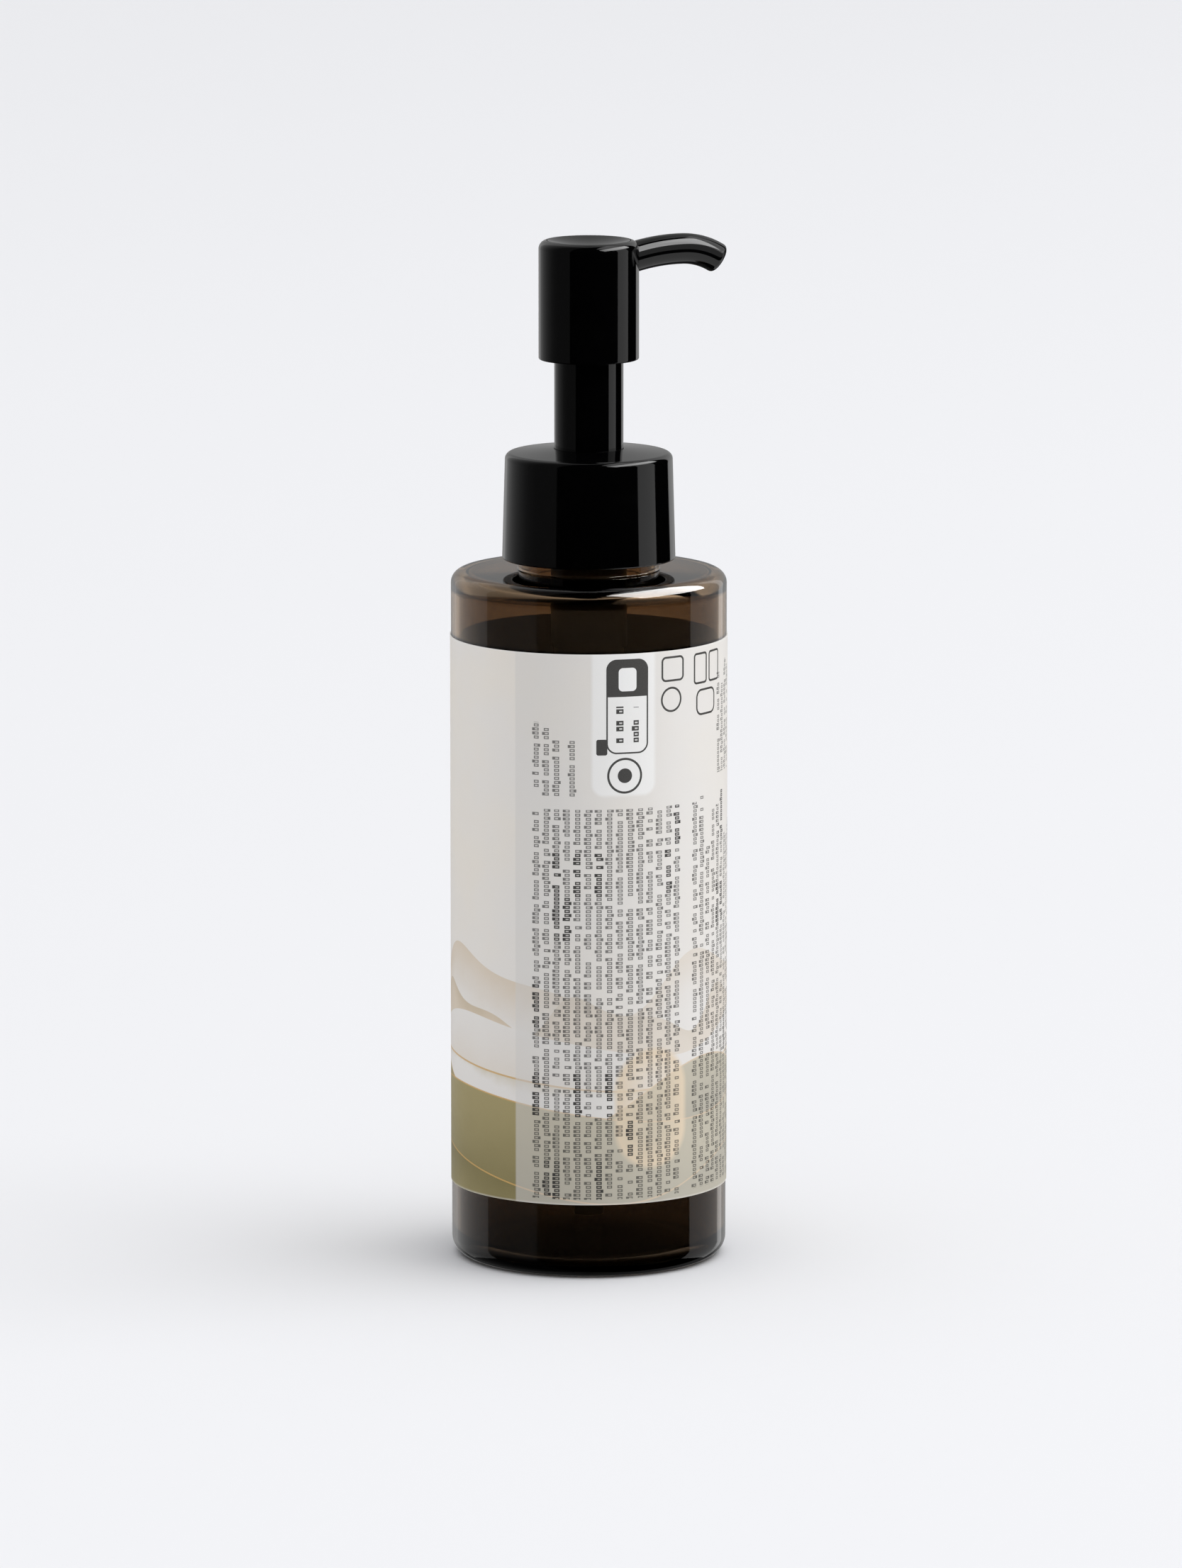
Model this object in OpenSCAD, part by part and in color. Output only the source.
// Pump oil bottle: a round bottle, a wrap label and a piston pump under a screw collar.
// Millimetres. +Z is up, the origin is the centre of the base on the table, the nozzle points to +X.

/* [Bottle] */
// Outside diameter of the body
body_d = 45; // [44:0.5:50]
// Height of the shoulder's outer edge
shoulder_z = 113.4; // [113:0.1:114]
// Wall thickness of the body
body_wall = 1.3; // [1:0.1:1.6]
// Radius of the edge at the foot
foot_round = 3; // [2:0.1:3.5]
// Radius of the edge at the shoulder
shoulder_round = 2; // [1:0.1:2.5]
// Height of the dome under the base
push_up = 3.2; // [2:0.1:3.5]

/* [Neck] */
// Outside diameter of the neck, under the thread
neck_d = 22.96; // [22.8:0.02:23]
// Inside diameter of the neck
neck_bore = 19.7; // [19:0.1:20]
// Height of the bottle's lip
lip_z = 127.6; // [127.4:0.1:127.6]
// Rise of the thread in one turn
thread_pitch = 3.175; // [3.1:0.025:3.2]
// How far the neck's thread stands out
thread_h = 0.75; // [0.5:0.05:0.8]

/* [Label] */
// Height of the label's lower edge
label_low = 12.4; // [8:0.2:20]
// Height of the label's upper edge
label_high = 103; // [80:0.2:108]
// Thickness of the label film
label_t = 0.14; // [0.1:0.02:0.3]
// Gap between the label's two ends, in degrees
label_gap = 6; // [2:1:20]

/* [Collar] */
// Diameter at the collar's lower edge
collar_low_d = 28.26; // [28:0.02:29]
// Diameter at the collar's upper edge, before it is rounded
collar_high_d = 27.28; // [27:0.02:27.6]
// Height of the collar's lower edge
collar_z = 115.45; // [115:0.05:116]
// Height of the collar's upper edge
collar_rim_z = 132.75; // [132.6:0.05:133]
// How far the collar's top rises towards the tower
collar_rise = 0.75; // [0.3:0.05:1]
// Radius of the collar's upper edge
collar_round = 1.1; // [0.8:0.1:1.3]

/* [Head] */
// Diameter of the head
head_d = 16.34; // [16:0.02:17]
// Height of the head's lower edge
head_low_z = 148.1; // [147.8:0.1:148.4]
// Height of the head's rim
head_high_z = 167.5; // [167.4:0.1:168]
// Radius of the head's rim
head_round = 1.4; // [1:0.1:1.5]
// Depth of the finger rest
dish_depth = 1; // [0.6:0.1:1.1]
// Diameter of the guide tower
tower_d = 11.26; // [11.1:0.02:11.4]
// Height of the tower's top, inside the head
tower_top_z = 150.1; // [149.5:0.1:150.1]

/* [Nozzle] */
// Outside diameter of the nozzle
nozzle_d = 5; // [4.8:0.1:5]
// Bore of the nozzle and of the channels that feed it
nozzle_bore = 2.8; // [2:0.1:3]
// Distance of the nozzle's crest from the axis
crest_x = 15.7; // [14:0.1:17]
// Height of the nozzle's centre line at its crest
crest_z = 165.65; // [165.6:0.05:165.8]
// Radius of the curve that rises to the crest
rise_r = 30; // [28:0.5:34]
// Radius of the curve that falls to the tip
fall_r = 10.8; // [9:0.2:12]
// Angle through which the tip turns down
fall_angle = 36; // [20:1:45]

/* [Pump] */
// Outside diameter of the housing's upper part
housing_d = 12.4; // [12.2:0.1:12.6]
// Outside diameter of the housing's lower part
housing_low_d = 11.4; // [11.2:0.1:11.6]
// Height at which the housing steps in
housing_step_z = 101.1; // [98:0.1:105]
// Bore in which the piston runs
piston_bore = 9.7; // [9.6:0.05:9.8]
// Outside diameter of the stem
stem_d = 5; // [4.8:0.05:5]
// Bore of the stem
stem_bore = 2.9; // [2.6:0.1:3]
// Outside diameter of the dip tube
tube_d = 4.8; // [4.6:0.1:5]
// Bore of the dip tube
tube_bore = 3.5; // [3:0.1:3.7]
// Height of the dip tube's lower end
tube_low_z = 6.5; // [6:0.5:20]
// Wire diameter of the return spring
wire_d = 0.7; // [0.5:0.05:0.9]
// Diameter of the inlet ball
ball_d = 3.5; // [3.4:0.05:3.6]

/* [Hidden] */
$fn = 96;

// Clearances: a running fit, parts that rest on each other, and parts that slip past each other
run_gap = 0.03;
rest_gap = 0.02;
slip_gap = 0.05;
// Overlap that joins two shapes, and how far a cutting shape runs past what it cuts
lap = 0.01;
over = 1;
// Radius of the small edges of mouldings
edge_round = 0.2;
rim_round = 0.3;

// Bottle
body_r = body_d / 2;
inner_r = body_r - body_wall;
neck_r = neck_d / 2;
shoulder_rise = 0.27;
neck_foot_z = shoulder_z + shoulder_rise;
shoulder_wall = 1.4;
foot_ring_r = 15.5;
base_wall = 1.8;
dome_r = (foot_ring_r * foot_ring_r + push_up * push_up) / (2 * push_up);

// Screw thread: the neck's ridge is a helix of short ring sectors, and the collar's follows it
sectors_per_turn = 24;
sector_angle = 360 / sectors_per_turn;
sector_lap = 0.6;
neck_turns = 1.5;
collar_turns = 1.25;
thread_low_z = 120.6;
ridge_root = 1.6;
ridge_crest = 0.8;
collar_ridge_drop = 1.35;
collar_thread_h = 0.75;
fade_sectors = 3;
ridge_sink = 0.12;

// Stack under the collar's top
gasket_t = 1.2;
gasket_in_r = 8.2;
gasket_z = lip_z + rest_gap;
flange_z = gasket_z + gasket_t + rest_gap;
flange_t = 1.28;
flange_r = 11.4;
tower_flange_z = flange_z + flange_t + rest_gap;
tower_flange_t = 1;
tower_flange_r = 9;
collar_roof_z = tower_flange_z + tower_flange_t + slip_gap;
collar_inner_r = 12.55;
seal_in_r = 5.7;
seal_out_r = 8;
seal_t = 0.5;

// Pump
bore_r = piston_bore / 2;
plug_r = 5.15;
plug_low_z = 115.4;
guide_t = 3.1;
tower_bore_r = 4.5;
stem_seal_h = 1.6;
floor_z = 73;
foot_cone_low = 3;
foot_cone_high = 1.2;
inlet_r = 1.3;
socket_low_z = 62;
socket_wall = 1.1;
socket_r = tube_d / 2 + run_gap;
tube_top_z = 70.3;
vent_z = 109.6;
vent_r = 0.5;
ball_r = ball_d / 2;
ball_z = floor_z + sqrt(ball_r * ball_r - inlet_r * inlet_r) + rest_gap;
ball_travel = 1.5;
cage_roof_z = ball_z + ball_r + ball_travel + rest_gap;
cage_top_z = cage_roof_z + 0.95;
cage_foot_z = floor_z + 0.2;
cage_bore_r = ball_r + 0.45;
cage_hole_r = 1.1;
stem_r = stem_d / 2;
stem_low_z = 108;
stem_top_z = 160;
stem_bead_z = 158;
stem_bead_r = 0.35;
stem_stop_z = 113.8;
stem_stop_r = 3.6;
rod_seat_z = 103.5;
rod_disc_t = 1.7;
rod_disc_r = 3.9;
rod_spigot_r = 2.3;
rod_spigot_len = 2.9;
rod_top_z = 121;
rod_flute_r = 0.55;
cone_low_r = 3.3;
cone_high_r = 2.2;
cone_z = rod_seat_z + rod_disc_t;
cone_h = 1.8;
piston_low_z = 106.45;
piston_top_z = 112.6;
piston_waist = 0.35;
lip_foot_r = 3.6;
lip_h = 2.2;

// Head
head_r = head_d / 2;
head_wall = 1.2;
head_inner_r = head_r - head_wall - rest_gap;
dish_r = head_r - head_round - 0.15;
dish_sphere_r = (dish_r * dish_r + dish_depth * dish_depth) / (2 * dish_depth);
roof_t = 1.3;
head_roof_z = head_high_z - dish_depth - roof_t;
core_disc_z = 161.4;
core_low_z = 146;
hub_r = 4.2;
channel_top_z = 163.4;
nozzle_r = nozzle_d / 2;
spigot_r = 1.9;
spigot_len = 3.4;
spigot_bore = nozzle_bore - 0.6;
channel_reach = 7.5;
bore_past = 4;
shell_hole_past = 9;
root_x = 7;
root_outside = 4;
root_angle = asin((crest_x - root_x) / rise_r);
root_z = crest_z - rise_r * (1 - cos(root_angle));

// Colours
black_gloss = [0.05, 0.05, 0.055];
black_satin = [0.09, 0.09, 0.1];
amber = [0.36, 0.2, 0.08, 0.75];
film = [0.8, 0.79, 0.75];
natural = [0.9, 0.9, 0.88];
steel = [0.72, 0.73, 0.75];

// Half outline of a bar round the Z axis, with its lower and upper edges rounded
module bar_outline(r, z0, z1, low = 0, high = 0) {
    translate([0, z0 + low])
        square([r, z1 - z0 - low - high]);
    if (low > 0) {
        translate([0, z0])
            square([r - low, low + lap]);
        translate([r - low, z0 + low])
            circle(r = low);
    }
    if (high > 0) {
        translate([0, z1 - high - lap])
            square([r - high, high + lap]);
        translate([r - high, z1 - high])
            circle(r = high);
    }
}

// A turned ring
module ring(r_in, r_out, z0, z1) {
    rotate_extrude()
        translate([r_in, z0])
            square([r_out - r_in, z1 - z0]);
}

// A ridge that climbs in short sectors; side is 1 outwards and -1 inwards
module ridge(r, h, z0, turns, side) {
    count = round(turns * sectors_per_turn);
    for (i = [0 : count - 1]) {
        part = min(1, (i + 1) / fade_sectors, (count - i) / fade_sectors);
        reach = side * h * part;
        foot = -side * ridge_sink;
        rotate([0, 0, i * sector_angle])
            rotate_extrude(angle = sector_angle + sector_lap)
                translate([r, z0 + thread_pitch * i / sectors_per_turn])
                    polygon([[foot, -ridge_root / 2], [reach, -ridge_crest / 2],
                        [reach, ridge_crest / 2], [foot, ridge_root / 2]]);
    }
}

module bottle_outside() {
    bar_outline(body_r, 0, shoulder_z, foot_round, shoulder_round);
    polygon([[0, shoulder_z - over], [body_r - shoulder_round, shoulder_z - over],
        [body_r - shoulder_round, shoulder_z], [neck_r, neck_foot_z], [0, neck_foot_z]]);
    bar_outline(neck_r, shoulder_z, lip_z, 0, rim_round);
}

module bottle_inside() {
    difference() {
        bar_outline(inner_r, base_wall, shoulder_z - shoulder_wall, foot_round, shoulder_round);
        intersection() {
            translate([0, push_up - dome_r])
                circle(r = dome_r + base_wall, $fn = 240);
            square([body_r, shoulder_z]);
        }
    }
    translate([0, shoulder_z - shoulder_wall - over])
        square([neck_bore / 2, lip_z]);
}

module bottle() {
    color(amber) {
        rotate_extrude($fn = 144)
            difference() {
                bottle_outside();
                bottle_inside();
                intersection() {
                    translate([0, push_up - dome_r])
                        circle(r = dome_r, $fn = 240);
                    translate([0, -over])
                        square([foot_ring_r + over, push_up + 2 * over]);
                }
            }
        ridge(neck_r, thread_h, thread_low_z, neck_turns, 1);
    }
}

module label() {
    color(film)
        rotate([0, 0, 75 + label_gap / 2])
            rotate_extrude(angle = 360 - label_gap, $fn = 144)
                translate([body_r + rest_gap / 4, label_low])
                    square([label_t, label_high - label_low]);
}

// Centre of the round that joins the collar's drafted side to its sloping top
draft_angle = atan((collar_low_d - collar_high_d) / 2 / (collar_rim_z - collar_z));
slope_angle = atan(collar_rise / (collar_high_d / 2 - tower_d / 2));
round_x = collar_high_d / 2
    - collar_round * (cos(slope_angle) - sin(draft_angle)) / cos(draft_angle + slope_angle);
round_z = collar_rim_z
    - collar_round * (cos(draft_angle) - sin(slope_angle)) / cos(draft_angle + slope_angle);

module screw_collar() {
    color(black_gloss) {
        rotate_extrude($fn = 144)
            difference() {
                union() {
                    polygon([[0, collar_z], [collar_low_d / 2, collar_z],
                        [round_x + collar_round * cos(draft_angle),
                            round_z + collar_round * sin(draft_angle)],
                        [round_x + collar_round * sin(slope_angle),
                            round_z + collar_round * cos(slope_angle)],
                        [tower_d / 2, collar_rim_z + collar_rise], [0, collar_rim_z + collar_rise]]);
                    translate([round_x, round_z])
                        circle(r = collar_round);
                }
                translate([0, collar_z - over])
                    square([collar_inner_r, collar_roof_z - collar_z + over]);
                square([tower_d / 2 + slip_gap, head_low_z]);
            }
        ridge(collar_inner_r, collar_thread_h, thread_low_z - collar_ridge_drop, collar_turns, -1);
    }
}

module neck_gasket() {
    color(natural)
        ring(gasket_in_r, flange_r, gasket_z, gasket_z + gasket_t);
}

module pump_housing() {
    color(black_satin)
        difference() {
            rotate_extrude()
                difference() {
                    union() {
                        bar_outline(socket_r + socket_wall, socket_low_z, floor_z, rim_round, 0);
                        polygon([[0, floor_z - foot_cone_low],
                            [socket_r + socket_wall, floor_z - foot_cone_low],
                            [housing_low_d / 2, floor_z - foot_cone_high],
                            [housing_low_d / 2, housing_step_z],
                            [housing_d / 2, housing_step_z], [housing_d / 2, flange_z], [0, flange_z]]);
                        bar_outline(flange_r, flange_z - lap, flange_z + flange_t, 0, edge_round);
                    }
                    translate([0, socket_low_z - over])
                        square([socket_r, tube_top_z - socket_low_z + over + rest_gap]);
                    translate([0, tube_top_z])
                        square([inlet_r, floor_z - tube_top_z + over]);
                    translate([0, floor_z])
                        square([bore_r, plug_low_z - floor_z]);
                    translate([0, plug_low_z - 2 * slip_gap])
                        square([plug_r + slip_gap, head_low_z]);
                    translate([seal_in_r - slip_gap, flange_z + flange_t - seal_t])
                        square([seal_out_r - seal_in_r + 2 * slip_gap, seal_t + over]);
                }
            translate([0, 0, vent_z])
                rotate([0, 90, 0])
                    cylinder(r = vent_r, h = housing_d);
        }
}

module guide_tower() {
    color(black_gloss)
        rotate_extrude()
            difference() {
                union() {
                    bar_outline(plug_r, plug_low_z, tower_flange_z + lap, edge_round, 0);
                    bar_outline(tower_flange_r, tower_flange_z, tower_flange_z + tower_flange_t, 0,
                        edge_round);
                    bar_outline(tower_d / 2, tower_flange_z, tower_top_z, 0, rim_round);
                }
                square([stem_r + slip_gap, tower_top_z]);
                translate([0, plug_low_z + guide_t])
                    square([tower_bore_r, tower_top_z]);
            }
}

module tower_seal() {
    color("dimgray")
        ring(seal_in_r, seal_out_r, flange_z + flange_t - seal_t + rest_gap / 2,
            flange_z + flange_t + rest_gap / 2);
}

module stem_seal() {
    low_z = plug_low_z + guide_t + rest_gap;
    lip_w = 0.85;
    groove_w = 0.5;
    color("dimgray")
        rotate_extrude()
            difference() {
                translate([stem_r + slip_gap, low_z])
                    square([tower_bore_r - slip_gap - stem_r - slip_gap, stem_seal_h]);
                translate([stem_r + slip_gap + lip_w, low_z + stem_seal_h / 2])
                    square([groove_w, stem_seal_h]);
            }
}

module ball_cage() {
    windows = 3;
    window_w = 1.4;
    window_from = 1.6;
    window_to = 3.55;
    window_h = 2;
    color(natural)
        difference() {
            rotate_extrude()
                difference() {
                    translate([0, cage_foot_z])
                        square([bore_r - slip_gap, cage_top_z - cage_foot_z]);
                    translate([0, floor_z])
                        square([cage_bore_r, cage_roof_z - floor_z]);
                    square([cage_hole_r, cage_top_z + over]);
                }
            for (i = [0 : windows - 1])
                rotate([0, 0, 30 + i * 360 / windows])
                    translate([window_from, -window_w / 2, cage_roof_z - window_h])
                        cube([window_to - window_from, window_w, 2 * window_h]);
        }
}

module inlet_ball() {
    color(steel)
        translate([0, 0, ball_z])
            sphere(r = ball_r);
}

module dip_tube() {
    cut_angle = 35;
    color(natural)
        difference() {
            ring(tube_bore / 2, tube_d / 2, tube_low_z, tube_top_z);
            translate([-tube_d / 2, 0, tube_low_z])
                rotate([0, cut_angle, 0])
                    translate([-tube_d, -tube_d, -2 * tube_d])
                        cube([4 * tube_d, 2 * tube_d, 2 * tube_d]);
        }
}

// Height of the spring's wire after t turns: closed turns at both ends, open turns between
spring_low_z = cage_top_z + rest_gap + wire_d / 2;
spring_high_z = rod_seat_z - rest_gap - wire_d / 2;
spring_r = 3.5;
open_turns = 7;
closed_turns = 1;
closed_pitch = wire_d + run_gap;
open_rise = spring_high_z - spring_low_z - 2 * closed_turns * closed_pitch;
function wire_z(t) = spring_low_z + closed_pitch * min(t, closed_turns)
    + open_rise * max(0, min(t - closed_turns, open_turns)) / open_turns
    + closed_pitch * max(0, t - closed_turns - open_turns);

module return_spring() {
    sides = 8;
    steps = 16;
    rings = (open_turns + 2 * closed_turns) * steps;
    points = [for (i = [0 : rings], j = [0 : sides - 1])
        let (a = 360 * i / steps, b = 360 * j / sides, r = spring_r + wire_d / 2 * cos(b))
        [r * cos(a), r * sin(a), wire_z(i / steps) + wire_d / 2 * sin(b)]];
    skin = [for (i = [0 : rings - 1], j = [0 : sides - 1])
        let (k = (j + 1) % sides)
        [i * sides + j, i * sides + k, (i + 1) * sides + k, (i + 1) * sides + j]];
    start_cap = [[for (j = [sides - 1 : -1 : 0]) j]];
    end_cap = [[for (j = [0 : sides - 1]) rings * sides + j]];
    color(steel)
        polyhedron(points, concat(start_cap, skin, end_cap));
}

module piston_rod() {
    shank_r = stem_bore / 2 - rest_gap;
    flutes = 3;
    color(natural)
        difference() {
            rotate_extrude() {
                bar_outline(rod_spigot_r, rod_seat_z - rod_spigot_len, rod_seat_z + lap, rim_round, 0);
                bar_outline(rod_disc_r, rod_seat_z, cone_z, 0, edge_round);
                polygon([[0, cone_z - lap], [cone_low_r, cone_z - lap], [cone_high_r, cone_z + cone_h],
                    [0, cone_z + cone_h]]);
                bar_outline(shank_r, cone_z, rod_top_z, 0, rim_round);
            }
            for (i = [0 : flutes - 1])
                rotate([0, 0, i * 360 / flutes])
                    translate([shank_r, 0, cone_z + cone_h])
                        cylinder(r = rod_flute_r, h = rod_top_z, $fn = 32);
        }
}

module piston_seal() {
    lip_r = bore_r - run_gap;
    lip_bevel = 0.3;
    lip_land = 0.8;
    seat_h = 0.6;
    groove_r = 3.3;
    groove_w = 0.6;
    groove_h = 1.6;
    color("white")
        rotate_extrude()
            difference() {
                union() {
                    translate([0, piston_low_z])
                        square([lip_r - piston_waist, piston_top_z - piston_low_z]);
                    polygon([[lip_foot_r, piston_low_z], [lip_r - edge_round, piston_low_z],
                        [lip_r, piston_low_z + lip_bevel], [lip_r, piston_low_z + lip_land],
                        [lip_foot_r, piston_low_z + lip_h]]);
                    polygon([[lip_foot_r, piston_top_z - lip_h], [lip_r, piston_top_z - lip_land],
                        [lip_r, piston_top_z - lip_bevel], [lip_r - edge_round, piston_top_z],
                        [lip_foot_r, piston_top_z]]);
                }
                square([stem_r + slip_gap, piston_top_z + over]);
                polygon([[0, piston_low_z - over], [lip_foot_r, piston_low_z - over],
                    [cone_radius(piston_low_z) + 2 * slip_gap, piston_low_z - lap],
                    [stem_r + slip_gap, piston_low_z + seat_h], [0, piston_low_z + seat_h]]);
                translate([groove_r, piston_top_z - groove_h])
                    square([groove_w, groove_h + over]);
            }
}

function cone_radius(z) = cone_low_r - (cone_low_r - cone_high_r) * (z - cone_z) / cone_h;

module stem() {
    color(natural)
        rotate_extrude()
            difference() {
                union() {
                    bar_outline(stem_r, stem_low_z, stem_top_z, 0, rim_round);
                    bar_outline(stem_stop_r, stem_stop_z, plug_low_z - 4 * slip_gap, edge_round, edge_round);
                    translate([stem_r - 0.15, stem_bead_z])
                        circle(r = stem_bead_r);
                }
                translate([0, stem_low_z - over])
                    square([stem_bore / 2, stem_top_z]);
            }
}

module actuator_core() {
    bead_groove_h = 1;
    bead_groove_depth = 0.25;
    color(black_satin)
        difference() {
            rotate_extrude()
                difference() {
                    union() {
                        bar_outline(hub_r, core_low_z, core_disc_z + lap, rim_round, 0);
                        bar_outline(head_inner_r - slip_gap, core_disc_z, head_roof_z - slip_gap,
                            rim_round, 0);
                    }
                    translate([0, core_low_z - over])
                        square([stem_r + run_gap, stem_top_z + slip_gap - core_low_z + over]);
                    translate([0, stem_bead_z - bead_groove_h / 2])
                        square([stem_r + bead_groove_depth, bead_groove_h]);
                    square([nozzle_bore / 2, channel_top_z]);
                }
            nozzle_root(nozzle_bore / 2, channel_reach);
            nozzle_root(spigot_r + run_gap, spigot_len + rest_gap);
            nozzle_root(nozzle_r + run_gap, slip_gap);
        }
}

module actuator_shell() {
    color(black_gloss)
        difference() {
            rotate_extrude($fn = 144)
                difference() {
                    bar_outline(head_r, head_low_z, head_high_z, edge_round, head_round);
                    translate([0, head_low_z - over])
                        square([head_inner_r, head_roof_z - head_low_z + over]);
                    intersection() {
                        translate([0, head_high_z - dish_depth + dish_sphere_r])
                            circle(r = dish_sphere_r, $fn = 360);
                        translate([0, head_high_z - 2 * dish_depth])
                            square([head_r, 4 * dish_depth]);
                    }
                }
            nozzle_curve(nozzle_r + slip_gap, shell_hole_past);
            nozzle_root(spigot_r + slip_gap, spigot_len + slip_gap);
        }
}

// A bar along the nozzle's root, from a depth inside the root's face to outside the head
module nozzle_root(r, depth) {
    translate([root_x, 0, root_z])
        rotate([0, 90 - root_angle, 0])
            translate([0, 0, -depth])
                cylinder(r = r, h = depth + root_outside);
}

// The nozzle's two curves as bars of one radius; past is how far, in degrees, they run beyond the ends
module nozzle_curve(r, past = 0) {
    translate([crest_x, 0, crest_z - rise_r])
        rotate([90, 0, 0])
            rotate_extrude(angle = root_angle + past / 3, start = 90, $fn = 240)
                translate([rise_r, 0])
                    circle(r = r, $fn = 48);
    translate([crest_x, 0, crest_z - fall_r])
        rotate([90, 0, 0])
            rotate_extrude(angle = fall_angle + past, start = 90 - fall_angle - past, $fn = 240)
                translate([fall_r, 0])
                    circle(r = r, $fn = 48);
}

module nozzle() {
    spigot_root = 0.5;
    color(black_gloss)
        difference() {
            union() {
                nozzle_curve(nozzle_r);
                translate([root_x, 0, root_z])
                    rotate([0, 90 - root_angle, 0])
                        translate([0, 0, -spigot_len])
                            cylinder(r = spigot_r, h = spigot_len + spigot_root);
            }
            nozzle_curve(nozzle_bore / 2, bore_past);
            translate([root_x, 0, root_z])
                rotate([0, 90 - root_angle, 0])
                    translate([0, 0, -spigot_len - over])
                        cylinder(r = spigot_bore / 2, h = spigot_len + over + spigot_root);
        }
}

bottle();
label();
screw_collar();
neck_gasket();
pump_housing();
guide_tower();
tower_seal();
stem_seal();
ball_cage();
inlet_ball();
dip_tube();
return_spring();
piston_rod();
piston_seal();
stem();
actuator_core();
actuator_shell();
nozzle();
